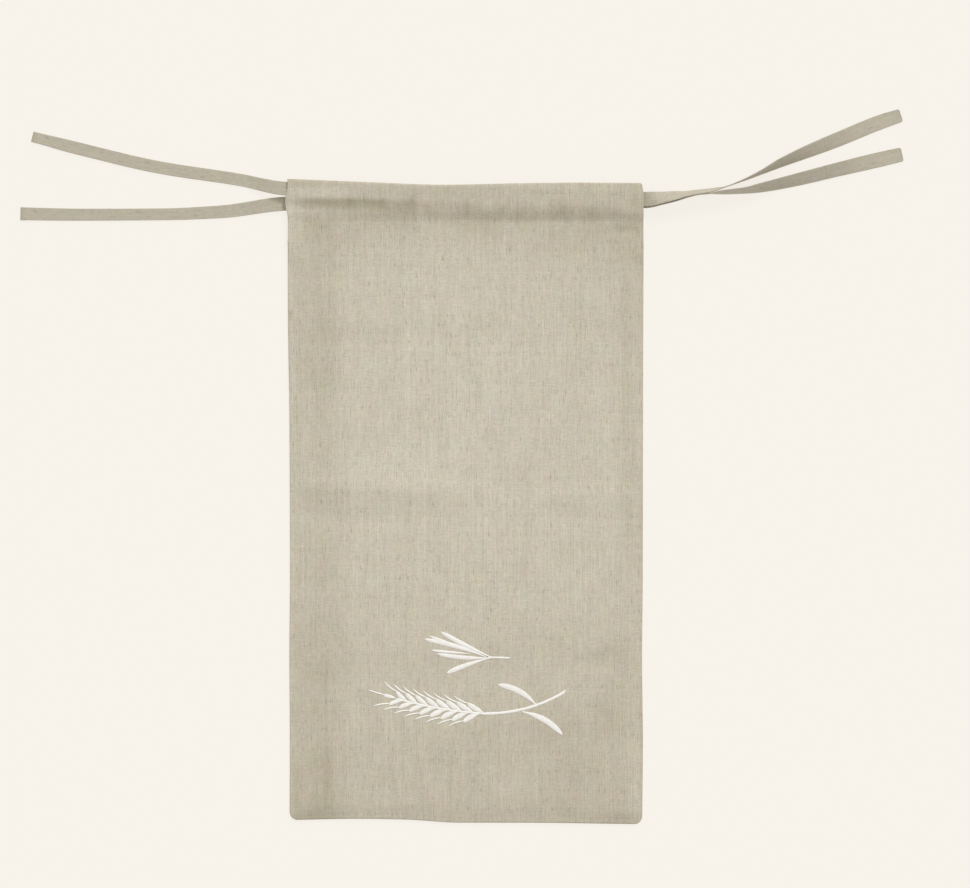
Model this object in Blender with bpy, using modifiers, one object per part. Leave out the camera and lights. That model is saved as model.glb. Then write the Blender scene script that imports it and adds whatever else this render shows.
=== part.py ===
"""Linen bread bag, empty and flat on its back panel, front up.

Two linen panels meet at the side and foot seams. Each panel's top hem is turned in as a casing,
and a flat linen tie runs through each casing with both its ends free. The mouth points to +Y.
The origin is the middle of the underside. Table rows are in millimetres and degrees.
"""

import math
from collections import namedtuple

import bpy

MM = 0.001

# Cloth thicknesses and clearances
CLOTH = 1.0 * MM
GAP = 0.38 * MM
MOUTH_GAP = 0.5 * MM
TIE_THICK = 1.1 * MM
PLY_STEP = CLOTH + GAP
TIE_LIFT = TIE_THICK + GAP

# Heights of the middle of each ply, from the surface that the bag lies on
BACK_OUTER_Z = CLOTH / 2
BACK_INNER_Z = BACK_OUTER_Z + PLY_STEP
FRONT_INNER_Z = BACK_INNER_Z + CLOTH + MOUTH_GAP
SEAM_Z = BACK_OUTER_Z + PLY_STEP

# Bag outline
HALF_WIDTH = 150 * MM
HEM_DEPTH = 52 * MM
FOOT_CORNER = 6.5 * MM
TOP_RIGHT_CORNER = 2.5 * MM
BACK_INSET = 0.5 * MM

# Casing relief: a tie lifts a strip a little wider than itself, which then falls away
STRIP_MARGIN = 1 * MM
STRIP_FALL = 4 * MM
FOLD_TOP_DEPTH = 1.5 * MM
HEADING_BAND_Y = 246 * MM
HEADING_BAND_FALL = 10 * MM

# Below the strip the outer ply stands off its hem, and puckers pull it back down
PUCKER_RISE = 0.75 * MM
PUCKER_START = 6 * MM
PUCKER_REACH = 14 * MM

# Body relief: the front rises from its seams and again towards the thicker heading
SEAM_RISE = 13 * MM
BODY_RISE = 1.35 * MM
HEADING_RISE = 1.2 * MM
HEADING_RISE_REACH = 110 * MM
HEADING_BLEND = 26 * MM

# Ties
TIE_DROP = 34 * MM
PILE_STEP = 1.9 * MM
TIE_STEP = 8.5 * MM
TWIST_STEP = 3.6 * MM
TWIST_START_X = 150 * MM
TWIST_END_X = 300 * MM

HorizontalEdge = namedtuple("HorizontalEdge", "x y")
TOP_EDGE = [HorizontalEdge(*row) for row in (
    (-150, 273.2), (-80, 270.4), (-18, 268.2), (46, 269.5), (97, 270.3), (150, 270.3))]
FOOT_EDGE = [HorizontalEdge(*row) for row in (
    (-150, -268.5), (-98, -267.6), (-55, -268.2), (-5, -270.9), (46, -270.9), (150, -272.1))]

SideEdge = namedtuple("SideEdge", "y x")
LEFT_EDGE = [SideEdge(*row) for row in (
    (-268, -149.2), (-200, -148.6), (-130, -148.9), (-60, -148.3), (60, -148.7), (170, -150.1),
    (273, -150.4))]
RIGHT_EDGE = [SideEdge(*row) for row in (
    (-272, 149.3), (-200, 149.9), (-135, 149.2), (-60, 149.8), (80, 150.0), (200, 150.4),
    (270, 150.5))]

# Where each tie lies: its centre line, its roll about that line and the width that shows
TiePoint = namedtuple("TiePoint", "x y roll width")
FRONT_TIE_ROUTE = [TiePoint(*row) for row in (
    (-366, 308.7, 0, 8.8), (-326, 298.4, 0, 10.6), (-258, 282.6, 0, 10.6), (-190, 272.1, 0, 10.4),
    (-151, 264.6, 0, 10.8), (-84, 262.5, 0, 11.4), (-10, 259.9, 0, 11.6), (60, 258.0, 0, 11.8),
    (115, 257.4, 0, 12), (152, 255.4, 0, 12.4), (164, 257.2, -25, 12.4), (181, 260.2, -54, 12.4),
    (198, 262.6, -79, 12.4), (219, 267.0, -87, 12.4), (232, 271.3, -95, 12.4),
    (266, 286.5, -123, 12.4), (316, 306.8, -165, 12.6), (350, 321.0, -180, 12.6),
    (368, 327.3, -180, 12.2))]
BACK_TIE_ROUTE = [TiePoint(*row) for row in (
    (-376, 243.6, 0, 11.0), (-326, 242.8, 0, 10.2), (-258, 243.1, 0, 10.0), (-207, 245.4, 0, 10.6),
    (-151, 252.3, 0, 10.8), (-84, 253.2, 0, 11.4), (60, 254.2, 0, 11.8),
    (152, 254.9, 0, 12.4), (164, 256.3, -25, 12.4), (181, 258.5, -54, 12.4),
    (198, 260.1, -79, 12.4), (219, 262.0, -103, 12.4), (249, 265.6, -127, 12.4),
    (283, 272.9, -147, 12.4), (316, 281.2, -160, 12.4), (350, 289.4, -178, 12.6),
    (369, 293.8, -180, 12.0))]

# Storage folds and soft waves of the front: low ridges (+) and troughs (-)
Crease = namedtuple("Crease", "x y angle half_length half_width height")
CREASES = [Crease(*row) for row in (
    (0, 141, 1, 170, 17, -0.5),
    (-60, 10, -2, 120, 18, 0.9),
    (-70, -9, -1, 110, 16, -0.9),
    (95, 4, 3, 80, 18, 0.6),
    (30, -126, 1, 170, 18, 0.65),
    (110, -141, 4, 50, 14, -0.7),
    (-126, 80, 88, 120, 12, -0.8),
    (-102, 60, 91, 140, 14, 0.6),
    (-124, -175, 92, 95, 13, -0.7),
    (20, 110, 90, 90, 20, 0.45),
    (118, 110, 87, 90, 20, -0.4),
    (60, -205, 6, 90, 26, -0.5))]

# Puckers below the front tie's strip, where its hem was drawn up and let out again
PUCKERS = [Crease(*row) for row in (
    (-84, 250, 4, 28, 8, -0.7),
    (-52, 245, 53, 22, 7, -0.75),
    (-14, 247, 70, 14, 6, -0.4),
    (3, 246, 62, 18, 6, -0.6),
    (66, 243, -3, 62, 8, -0.7),
    (133, 231, 3, 26, 7, -0.7))]

Finish = namedtuple("Finish", "colour roughness")
PANEL_LINEN = Finish(colour=(0.55, 0.49, 0.39), roughness=0.92)
TIE_LINEN = Finish(colour=(0.53, 0.48, 0.38), roughness=0.9)


def mix(low, high, share):
    return low + (high - low) * share


def smooth(value):
    """Rise from 0 to 1 with level ends."""
    value = min(1.0, max(0.0, value))
    return value * value * (3 - 2 * value)


def along(table, place, column):
    """Read a column of a table at a place in its first column, on one smooth curve.

    Places and readings are in metres, apart from a roll. The curve never overshoots its rows.
    """
    unit = 1.0 if column == "roll" else MM
    places = [row[0] * MM for row in table]
    values = [getattr(row, column) * unit for row in table]
    place = min(places[-1], max(places[0], place))
    slopes = [(values[i + 1] - values[i]) / (places[i + 1] - places[i])
              for i in range(len(table) - 1)]
    tangents = [slopes[0]]
    for before, after in zip(slopes, slopes[1:]):
        level = before * after <= 0
        tangents.append(0.0 if level else 2 * before * after / (before + after))
    tangents.append(slopes[-1])
    i = max(k for k in range(len(slopes)) if k == 0 or place >= places[k])
    span = places[i + 1] - places[i]
    t = (place - places[i]) / span
    return ((2 * t**3 - 3 * t**2 + 1) * values[i] + (t**3 - 2 * t**2 + t) * span * tangents[i]
            + (3 * t**2 - 2 * t**3) * values[i + 1] + (t**3 - t**2) * span * tangents[i + 1])


def strip_lift(x, y, route):
    """How far a tie spreads its casing at a place."""
    reach = along(route, x, "width") / 2 + STRIP_MARGIN
    beside = abs(y - along(route, x, "y")) - reach
    return TIE_LIFT * (1 - smooth(beside / STRIP_FALL))


def relief(x, y, creases):
    """Sum of the low ridges and troughs at a place."""
    total = 0.0
    for crease in creases:
        turn = math.radians(crease.angle)
        dx, dy = x - crease.x * MM, y - crease.y * MM
        forward = (dx * math.cos(turn) + dy * math.sin(turn)) / (crease.half_length * MM)
        across = (dy * math.cos(turn) - dx * math.sin(turn)) / (crease.half_width * MM)
        total += crease.height * MM * math.exp(-2 * across**2) * (1 - smooth(abs(forward)))
    return total


def back_inner_height(x, y):
    return BACK_INNER_Z + strip_lift(x, y, BACK_TIE_ROUTE)


def front_inner_height(x, y):
    """The front's turned-in ply lies level over the back casing and its tie."""
    above_band = (y - HEADING_BAND_Y) / HEADING_BAND_FALL + 1
    return FRONT_INNER_Z + TIE_LIFT * smooth(above_band)


def front_outer_height(x, y):
    """The front's outer ply: raised strip over the tie, then soft waves down to the seams."""
    hem_end = along(TOP_EDGE, x, "y") - HEM_DEPTH
    heading = smooth((y - hem_end) / HEADING_BLEND + 1)
    strip = strip_lift(x, y, FRONT_TIE_ROUTE)
    standing = (1 - strip / TIE_LIFT) * smooth((y - hem_end - PUCKER_START) / PUCKER_REACH)
    puckered = PUCKER_RISE + max(-PUCKER_RISE, relief(x, y, PUCKERS))
    over_hem = front_inner_height(x, y) + PLY_STEP + strip + standing * puckered
    to_side = min(x - along(LEFT_EDGE, y, "x"), along(RIGHT_EDGE, y, "x") - x)
    to_foot = y - along(FOOT_EDGE, x, "y")
    inward = smooth(to_side / SEAM_RISE) * smooth(to_foot / SEAM_RISE)
    near_heading = smooth((y - hem_end) / HEADING_RISE_REACH + 1)
    body = SEAM_Z + inward * (BODY_RISE + HEADING_RISE * near_heading + relief(x, y, CREASES))
    return mix(body, over_hem, heading)


def inset_side(x_share, y, x_nominal, inset):
    """Place of a column at a height, with the rounded corners of the foot and the top right."""
    left = along(LEFT_EDGE, y, "x") + inset
    right = along(RIGHT_EDGE, y, "x") - inset
    above_foot = y - along(FOOT_EDGE, x_nominal, "y") - inset
    if above_foot < FOOT_CORNER:
        short = FOOT_CORNER - max(0.0, above_foot)
        corner = FOOT_CORNER - math.sqrt(FOOT_CORNER**2 - short**2)
        left, right = left + corner, right - corner
    below_top = along(TOP_EDGE, x_nominal, "y") - y - inset
    if below_top < TOP_RIGHT_CORNER:
        short = TOP_RIGHT_CORNER - max(0.0, below_top)
        right -= TOP_RIGHT_CORNER - math.sqrt(TOP_RIGHT_CORNER**2 - short**2)
    return mix(left, right, x_share)


def column_shares(near_edge, step):
    """Shares of the width: close together beside the side seams, then even."""
    width = 2 * HALF_WIDTH
    edge = [distance * MM / width for distance in near_edge]
    count = max(1, round((1 - 2 * edge[-1]) / (step / width)))
    middle = [mix(edge[-1], 1 - edge[-1], i / count) for i in range(1, count)]
    return edge + middle + [1 - share for share in reversed(edge)]


def panel_rows(foot_rows, body_step, heading_rows, fold_rows, hem_rows, x, inset, heights):
    """One column of a panel as (y, z): up its outer ply, over the top and down the hem."""
    outer, inner = heights
    foot = along(FOOT_EDGE, x, "y") + inset
    top = along(TOP_EDGE, x, "y") - inset
    outer_z, inner_z = outer(x, top - FOLD_TOP_DEPTH), inner(x, top - FOLD_TOP_DEPTH)
    fold_radius = abs(outer_z - inner_z) / 2
    fold_y = top - CLOTH / 2 - fold_radius
    body_low = foot + foot_rows[-1] * MM
    body_high = fold_y - heading_rows[-1] * MM
    count = max(1, round((body_high - body_low) / body_step))
    ys = [foot + rise * MM for rise in foot_rows]
    ys += [mix(body_low, body_high, i / count) for i in range(1, count)]
    ys += [fold_y - drop * MM for drop in reversed(heading_rows)]
    column = [(y, outer(x, y)) for y in ys[:-1]]
    for i in range(fold_rows + 1):
        turn = math.pi * i / fold_rows
        z = mix(inner_z, outer_z, (1 + math.cos(turn)) / 2)
        column.append((fold_y + fold_radius * math.sin(turn), z))
    column += [(fold_y - drop * MM, inner(x, fold_y - drop * MM)) for drop in hem_rows]
    return column


def sheet_object(name, grid, thickness, finish, collection):
    """A sheet of cloth: an open grid of points, thickened evenly to both sides."""
    columns, rows = len(grid), len(grid[0])
    points = [point for column in grid for point in column]
    faces = [(i * rows + j, (i + 1) * rows + j, (i + 1) * rows + j + 1, i * rows + j + 1)
             for i in range(columns - 1) for j in range(rows - 1)]
    mesh = bpy.data.meshes.new(name)
    mesh.from_pydata(points, [], faces)
    mesh.shade_smooth()
    sheet = bpy.data.objects.new(name, mesh)
    collection.objects.link(sheet)
    solid = sheet.modifiers.new("cloth_thickness", "SOLIDIFY")
    solid.thickness = thickness
    solid.offset = 0
    solid.use_even_offset = True
    material = bpy.data.materials.new(name + "_linen")
    material.use_nodes = True
    shader = material.node_tree.nodes["Principled BSDF"]
    shader.inputs["Base Color"].default_value = (*finish.colour, 1)
    shader.inputs["Roughness"].default_value = finish.roughness
    shader.inputs["Metallic"].default_value = 0
    mesh.materials.append(material)
    return sheet


def panel_grid(shares, rows, inset, heights):
    """All columns of a panel, from its left side to its right."""
    grid = []
    for share in shares:
        x_nominal = mix(-HALF_WIDTH, HALF_WIDTH, share)
        column = panel_rows(x=x_nominal, inset=inset, heights=heights, **rows)
        grid.append([(inset_side(share, y, x_nominal, inset), y, z) for y, z in column])
    return grid


def build_front_panel(collection):
    rows = dict(foot_rows=(0, 0.7, 2, 4, 6.5, 11, 18), body_step=12.5 * MM,
                heading_rows=(0, 2.6, 5.2, 7.8, 10.4, 13, 15.6, 18.2, 20.8, 24, 28, 33, 38, 44, 51, 60, 70),
                fold_rows=5, hem_rows=(2.6, 7.8, 15.6, 20.8, 24, 28, 33, 38, 51))
    shares = column_shares(near_edge=(0, 3.5, 8, 14), step=11.4 * MM)
    grid = panel_grid(shares, rows, 0.0, (front_outer_height, front_inner_height))
    return sheet_object("front_panel", grid, CLOTH, PANEL_LINEN, collection)


def build_back_panel(collection):
    rows = dict(foot_rows=(0, 0.7, 2, 4, 6.5), body_step=160 * MM, heading_rows=(0, 60),
                fold_rows=5, hem_rows=(2.6, 5.2, 7.8, 10.4, 13, 15.6, 18.2, 20.8, 23.4, 26, 29, 33, 38, 51))
    shares = column_shares(near_edge=(0, 10), step=20 * MM)
    heights = (lambda x, y: BACK_OUTER_Z, back_inner_height)
    grid = panel_grid(shares, rows, BACK_INSET, heights)
    return sheet_object("back_panel", grid, CLOTH, PANEL_LINEN, collection)


def tie_grid(route, casing_z, pile_step):
    """A flat tie along its route: level in its casing, then down to the surface it lies on.

    On the right it rolls on to its edge and over. Where it is piled on the other tie, it keeps
    a step above it for as long as both are rolled alike.
    """
    places = [route[0].x * MM]
    end = route[-1].x * MM
    while places[-1] < end - TWIST_STEP / 2:
        twisting = TWIST_START_X <= places[-1] < TWIST_END_X
        places.append(min(end, places[-1] + (TWIST_STEP if twisting else TIE_STEP)))
    lines = ([], [], [])
    for x in places:
        y = along(route, x, "y")
        roll = math.radians(along(route, x, "roll"))
        half = along(route, x, "width") / 2
        before, after = max(places[0], x - MM), min(end, x + MM)
        slope = (along(route, after, "y") - along(route, before, "y")) / (after - before)
        across = 1 / math.hypot(1, slope)
        lying = half * abs(math.sin(roll)) + TIE_THICK / 2 * abs(math.cos(roll))
        piled = pile_step * max(0.0, math.cos(roll)) if x > 0 else 0.0
        in_casing = 1 - smooth((abs(x) - HALF_WIDTH - 2 * MM) / TIE_DROP)
        from_pile = pile_step if x > 0 else 0.0
        lifted = (casing_z - TIE_THICK / 2 - from_pile) * in_casing
        z = lying + piled + lifted
        for line, side in zip(lines, (-1, 0, 1)):
            flat = side * half * math.cos(roll)
            line.append((x - flat * slope * across, y + flat * across,
                         z + side * half * math.sin(roll)))
    return lines


def build_ties(collection):
    front_casing_z = FRONT_INNER_Z + TIE_LIFT + CLOTH / 2 + GAP + TIE_THICK / 2
    back_casing_z = BACK_OUTER_Z + CLOTH / 2 + GAP + TIE_THICK / 2
    front = tie_grid(FRONT_TIE_ROUTE, front_casing_z, PILE_STEP)
    back = tie_grid(BACK_TIE_ROUTE, back_casing_z, 0.0)
    sheet_object("front_tie", front, TIE_THICK, TIE_LINEN, collection)
    sheet_object("back_tie", back, TIE_THICK, TIE_LINEN, collection)


def main():
    for item in list(bpy.data.objects):
        bpy.data.objects.remove(item, do_unlink=True)
    bag = bpy.data.collections.new("linen_bread_bag")
    bpy.context.scene.collection.children.link(bag)
    build_front_panel(bag)
    build_back_panel(bag)
    build_ties(bag)


main()
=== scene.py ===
import math
from collections import namedtuple

import bpy
import numpy as np
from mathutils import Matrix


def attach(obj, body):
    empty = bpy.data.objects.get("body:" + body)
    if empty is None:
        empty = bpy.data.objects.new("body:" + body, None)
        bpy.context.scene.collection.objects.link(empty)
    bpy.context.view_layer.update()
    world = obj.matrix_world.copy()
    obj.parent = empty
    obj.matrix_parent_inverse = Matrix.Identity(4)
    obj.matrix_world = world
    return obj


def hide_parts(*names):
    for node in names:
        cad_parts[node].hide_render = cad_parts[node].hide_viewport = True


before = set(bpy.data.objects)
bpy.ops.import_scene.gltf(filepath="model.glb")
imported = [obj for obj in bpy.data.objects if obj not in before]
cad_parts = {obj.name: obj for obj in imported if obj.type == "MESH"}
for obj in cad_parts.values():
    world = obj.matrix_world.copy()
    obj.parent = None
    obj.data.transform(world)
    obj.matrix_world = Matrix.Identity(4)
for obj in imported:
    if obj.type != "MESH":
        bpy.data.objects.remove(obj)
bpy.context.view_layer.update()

# Front panel: one length of slubby, unbleached plain-weave linen. Its top end is turned to the
# inside and stitched down as a casing, and its sides and foot are sewn to the back panel.
# It keeps the flat folds in which the bag was stored and the puckers of a tie once drawn up.
MM = 0.001
LINEN_THICK = 0.6 * MM
SOLID_PLY = 1.0 * MM
PLY_GAP = 0.38 * MM
TIE_SPACE = 1.1 * MM
PLY_STEP = SOLID_PLY + PLY_GAP
TIE_LIFT = TIE_SPACE + PLY_GAP
BACK_INNER_Z = SOLID_PLY / 2 + PLY_STEP
FRONT_INNER_Z = BACK_INNER_Z + SOLID_PLY + 0.5 * MM
FRONT_BODY_Z = SOLID_PLY / 2 + PLY_STEP
SEAM_LINE_Z = 1.2 * MM
SEAM_SLIT = 0.03 * MM

HALF_WIDTH = 150 * MM
HEM_DEPTH = 52 * MM
FOOT_CORNER = 6.5 * MM
TOP_RIGHT_CORNER = 2.5 * MM
EDGE_ROUND = 0.3 * MM
SEAM_CURL = 1.1 * MM
SEAM_OPENS = 6 * MM

STRIP_MARGIN = 1 * MM
STRIP_FALL = 4 * MM
FOLD_TOP_DEPTH = 1.5 * MM
HEADING_BAND_Y = 246 * MM
HEADING_BAND_FALL = 10 * MM
CHANNEL_DEPTH = 31.5 * MM
CHANNEL_DENT = 0.5 * MM
CHANNEL_DENT_REACH = 26 * MM
STRIP_TILT = 0.4 * MM
SEAM_RISE = 13 * MM
BODY_RISE = 1.35 * MM
HEADING_RISE = 1.2 * MM
HEADING_RISE_REACH = 110 * MM
HEADING_BLEND = 26 * MM
SHARP_FALL_REACH = 90 * MM
SHARP_FALL_POWER = 1.4
UPPER_SINK = 0.2
DEEPEST_PUCKER = 0.6 * MM

HorizontalEdge = namedtuple("HorizontalEdge", "x y")
TOP_EDGE = [HorizontalEdge(*row) for row in (
    (-150, 273.0), (-80, 270.2), (-18, 268.0), (46, 269.2), (97, 269.8), (150, 269.5))]
FOOT_EDGE = [HorizontalEdge(*row) for row in (
    (-150, -268.5), (-98, -267.6), (-55, -268.2), (-5, -270.9), (46, -270.9), (150, -272.1))]
SideEdge = namedtuple("SideEdge", "y x")
LEFT_EDGE = [SideEdge(*row) for row in (
    (-268, -148.6), (-200, -148.4), (-130, -148.8), (-60, -148.3), (60, -148.7), (170, -150.1),
    (238, -150.2), (246, -151.3), (252, -152.3), (258, -152.0), (264, -150.4), (273, -150.4))]
RIGHT_EDGE = [SideEdge(*row) for row in (
    (-272, 149.3), (-200, 149.9), (-135, 149.2), (-60, 149.8), (80, 150.0), (200, 150.4),
    (258, 150.5), (270, 148.9))]

# Where each tie lies: its centre line, its roll about that line and its width
TiePoint = namedtuple("TiePoint", "x y roll width")
FRONT_TIE_ROUTE = [TiePoint(*row) for row in (
    (-366, 308.7, 0, 8.8), (-326, 298.4, 0, 10.6), (-258, 282.6, 0, 10.6), (-190, 272.1, 0, 10.4),
    (-151, 264.4, 0, 11.6), (-84, 262.5, 0, 11.4), (-10, 259.9, 0, 11.6), (60, 258.0, 0, 11.8),
    (115, 257.4, 0, 12), (152, 255.5, 0, 12.4), (164, 256.6, -32, 12.4), (177, 258.6, -51, 12.4),
    (188, 260.3, -67, 12.4), (198, 261.9, -71, 12.4), (205, 262.7, -72, 12.4),
    (212, 264.1, -77, 12.4), (219, 265.9, -86, 12.4), (232, 270.6, -91, 12.4),
    (250, 278.4, -104, 12.4), (266, 286.2, -123, 12.4), (316, 306.8, -165, 12.6),
    (350, 320.8, -180, 12.4), (368, 326.8, -180, 11.2))]
BACK_TIE_ROUTE = [TiePoint(*row) for row in (
    (-376, 243.6, 0, 11.0), (-326, 242.8, 0, 10.2), (-258, 243.1, 0, 10.0), (-207, 245.2, 0, 10.8),
    (-151, 252.0, 0, 11.8), (-84, 253.2, 0, 11.4), (60, 254.2, 0, 11.8),
    (152, 254.5, 0, 12.4), (164, 255.6, -32, 12.4), (177, 257.4, -51, 12.4),
    (188, 259.3, -67, 12.4), (198, 260.6, -76, 12.4), (205, 260.3, -84, 12.4),
    (211, 260.9, -94, 12.4), (219, 261.5, -102, 12.4), (236, 262.9, -111, 12.4),
    (249, 265.2, -125, 12.4),
    (283, 272.9, -147, 12.4), (316, 281.2, -160, 12.4), (350, 289.4, -178, 12.6),
    (369, 293.8, -180, 12.0))]

# Where the front casing has come down from its tie
CHANNEL_FOOT = [HorizontalEdge(*row) for row in (
    (-150, 248.6), (-84, 247.0), (-48, 243.0), (-12, 239.2), (46, 237.6), (97, 238.2),
    (150, 235.4))]

# Ridges (+) and troughs (-), each a soft line with its own length, width and height
Crease = namedtuple("Crease", "x y angle half_length half_width height")
BODY_CREASES = [Crease(*row) for row in (
    (0, 141, 1, 170, 17, -0.6),
    (-60, 11, -2, 125, 15, 1.3),
    (-72, -14.5, -1, 110, 15, -1.05),
    (-64, 8.2, -1.5, 104, 3.5, 0.14),
    (100, 4, 3, 80, 15, 0.8),
    (104, -13, 3, 70, 12, -0.5),
    (30, -124, 1, 170, 17, 0.8),
    (112, -134, 5, 48, 12, -0.9),
    (136, -127, 8, 26, 4, -0.3),
    (-126, 80, 88, 120, 12, -0.9),
    (-102, 60, 91, 140, 14, 0.8),
    (-124, -175, 92, 95, 13, -0.8),
    (20, 110, 90, 90, 20, 0.45),
    (118, 110, 87, 90, 20, -0.4),
    (60, -205, 6, 90, 26, -0.5))]
CASING_PUCKERS = [Crease(*row) for row in (
    (-128, 267, 90, 7, 4, -0.08),
    (-109, 265, 88, 9, 4, -0.12),
    (-104, 236, 84, 15, 6, 0.3),
    (-97, 252, 80, 10, 6.5, -0.35),
    (-84, 255, 86, 9, 4, -0.35),
    (-71, 250, 88, 9, 6.5, -0.5),
    (-63, 251, 92, 11, 3.4, 0.4),
    (-45, 253, 80, 11, 6, -0.55),
    (-52, 238, 62, 14, 4.5, -0.45),
    (-38.5, 243, 84, 12, 3.4, 0.45),
    (-26, 246, 90, 10, 4.5, 0.3),
    (-13, 247, 88, 11, 5, -0.2),
    (1.3, 247, 90, 13, 4.2, -0.55),
    (9.5, 255, 84, 8, 3.4, -0.25),
    (18, 248.5, 90, 8, 7, 0.35),
    (30, 245, 90, 10, 4, -0.35),
    (38.5, 246, 90, 10, 3.5, 0.3),
    (44.5, 238, 92, 16, 2.8, -0.3),
    (64, 246, 90, 10, 6, 0.2),
    (80.7, 243.4, 88, 9, 7, -0.35),
    (94, 241, 90, 9, 4.5, 0.2),
    (105, 243, 90, 8, 6, -0.3),
    (125, 236, 3, 26, 2.6, 0.25),
    (135, 230, 3, 20, 4.5, -0.6))]
# Painted shade per metre of pucker depth: troughs are painted darker and ridges lighter
PUCKER_PAINTED_SHADE = 0.8 / MM

# Painted shade and painted light: soft patches of one depth each, painted darker where the linen
# lies in shade along the left side, the foot, the folds and the casing, and lighter than the
# cloth around them where that depth is below 0. One small patch is a real dark slub.
Shade = namedtuple("Shade", "x y half_width half_height depth")
PAINTED_SHADES_AND_SLUB = [Shade(*row) for row in (
    (-124, 205, 14, 52, 0.38),
    (-123, 130, 14, 34, 0.36),
    (-123, 108, 12, 12, 0.20),
    (-125, 60, 14, 38, 0.30),
    (-124, 2, 15, 12, 0.34),
    (-123, -60, 16, 50, 0.36),
    (-124, -146, 17, 42, 0.40),
    (-112, -142, 22, 9, 0.15),
    (-124, -236, 16, 32, 0.80),
    (-122, -186, 15, 15, 0.26),
    (-145, 0, 6, 270, 0.04),
    (-146, -250, 7, 30, 0.30),
    (-148, 252, 9, 10, -0.18),
    (-142, 269, 8, 3.5, 0.30),
    # A real dark slub of thread at the left seam, not painted shade
    (-147.3, 157, 1.4, 2.8, 0.70),
    (-128, -265, 18, 4.5, 0.45),
    (134, -267, 15, 4.5, 0.45),
    (-60, -230, 56, 34, 0.30),
    (40, -226, 60, 36, 0.33),
    (112, -238, 40, 34, 0.40),
    (105, -184, 50, 18, 0.30),
    (0, -266, 156, 14, 0.26),
    (0, -150, 150, 48, 0.17),
    (141, 110, 11, 130, 0.30),
    (122, 90, 9, 110, -0.08),
    (136, 180, 26, 40, 0.14),
    (141, -60, 10, 50, 0.22),
    (134, -150, 20, 40, 0.28),
    (110, -130, 26, 9, 0.14),
    (62, -112, 34, 12, 0.16),
    (100, 214, 50, 16, 0.22),
    (-60, 141, 90, 8, 0.11),
    (-98, 233, 26, 12, 0.14),
    (-129, 244, 21, 5.5, -0.62),
    (-122, 260.5, 20, 5, -0.62),
    (-13, 245, 6, 5, -0.30),
    (-96, 252, 15, 4.5, 0.20),
    (-104, 217, 16, 8, 0.22),
    (147, 252, 6, 5, 0.40),
    (144, 245, 10, 4, -0.28),
    (86, 252, 9, 4, 0.25),
    (12, 230, 16, 9, 0.30),
    (116, 232, 26, 8, 0.18),
    (-12, 108, 66, 100, -0.14),
    (-48, 32, 46, 18, -0.16),
    (24, -16, 30, 22, -0.08))]
# Depths of painted shade: over the casing, down its lower flank and below it, more on the left,
# and along the top, right and foot edges, with limits on the painted total
CASING_PAINTED_SHADE = 0.36
FLANK_PAINTED_SHADE = 0.53
LEFT_FLANK_PAINTED_SHADE = 0.22
BELOW_FLANK_PAINTED_SHADE = 0.36
LEFT_BELOW_PAINTED_SHADE = 0.24
TOP_EDGE_PAINTED_SHADE = 0.45
RIGHT_EDGE_PAINTED_SHADE = 0.5
FOOT_EDGE_PAINTED_SHADE = 0.3
PAINTED_SHADE_LIMITS = (-0.4, 1.7)
LEFT_END = -60 * MM


def mix(low, high, share):
    return low + (high - low) * share


def smooth(value):
    """Rise from 0 to 1 with level ends."""
    value = np.clip(value, 0.0, 1.0)
    return value * value * (3 - 2 * value)


def along(table, places, column):
    """Read a column of a table at places in its first column, on one smooth curve.

    Places and readings are in metres, apart from a roll. The curve never overshoots its rows.
    """
    unit = 1.0 if column == "roll" else MM
    knots = np.array([row[0] for row in table]) * MM
    values = np.array([getattr(row, column) for row in table]) * unit
    places = np.clip(places, knots[0], knots[-1])
    slopes = np.diff(values) / np.diff(knots)
    before, after = slopes[:-1], slopes[1:]
    turning = before * after <= 0
    shared = 2 * before * after / np.where(turning, 1.0, before + after)
    tangents = np.concatenate([slopes[:1], np.where(turning, 0.0, shared), slopes[-1:]])
    i = np.clip(np.searchsorted(knots, places, side="right") - 1, 0, len(slopes) - 1)
    span = knots[i + 1] - knots[i]
    t = (places - knots[i]) / span
    return ((2 * t**3 - 3 * t**2 + 1) * values[i] + (t**3 - 2 * t**2 + t) * span * tangents[i]
            + (3 * t**2 - 2 * t**3) * values[i + 1] + (t**3 - t**2) * span * tangents[i + 1])


def strip_lift(x, y, route):
    """How far a tie spreads its casing at a place."""
    reach = along(route, x, "width") / 2 + STRIP_MARGIN
    beside = np.abs(y - along(route, x, "y")) - reach
    return TIE_LIFT * (1 - smooth(beside / STRIP_FALL))


def flank_share(x, y):
    """How far down the front casing's lower flank a place is: 0 at the tie, 1 at the foot."""
    start = (along(FRONT_TIE_ROUTE, x, "y") - along(FRONT_TIE_ROUTE, x, "width") / 2
             + STRIP_MARGIN)
    return np.clip((start - y) / (start - along(CHANNEL_FOOT, x, "y")), 0, 1)


def relief(x, y, creases):
    """Sum of the ridges and troughs at a place."""
    total = np.zeros(np.broadcast(x, y).shape)
    for crease in creases:
        turn = math.radians(crease.angle)
        dx, dy = x - crease.x * MM, y - crease.y * MM
        forward = (dx * math.cos(turn) + dy * math.sin(turn)) / (crease.half_length * MM)
        across = (dy * math.cos(turn) - dx * math.sin(turn)) / (crease.half_width * MM)
        total = total + crease.height * MM * np.exp(-2 * across**2) * (1 - smooth(abs(forward)))
    return total


def front_inner_height(x, y):
    """The turned-in ply lies level over the back casing and its tie."""
    above_band = (y - HEADING_BAND_Y) / HEADING_BAND_FALL + 1
    return FRONT_INNER_Z + TIE_LIFT * smooth(above_band)


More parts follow.
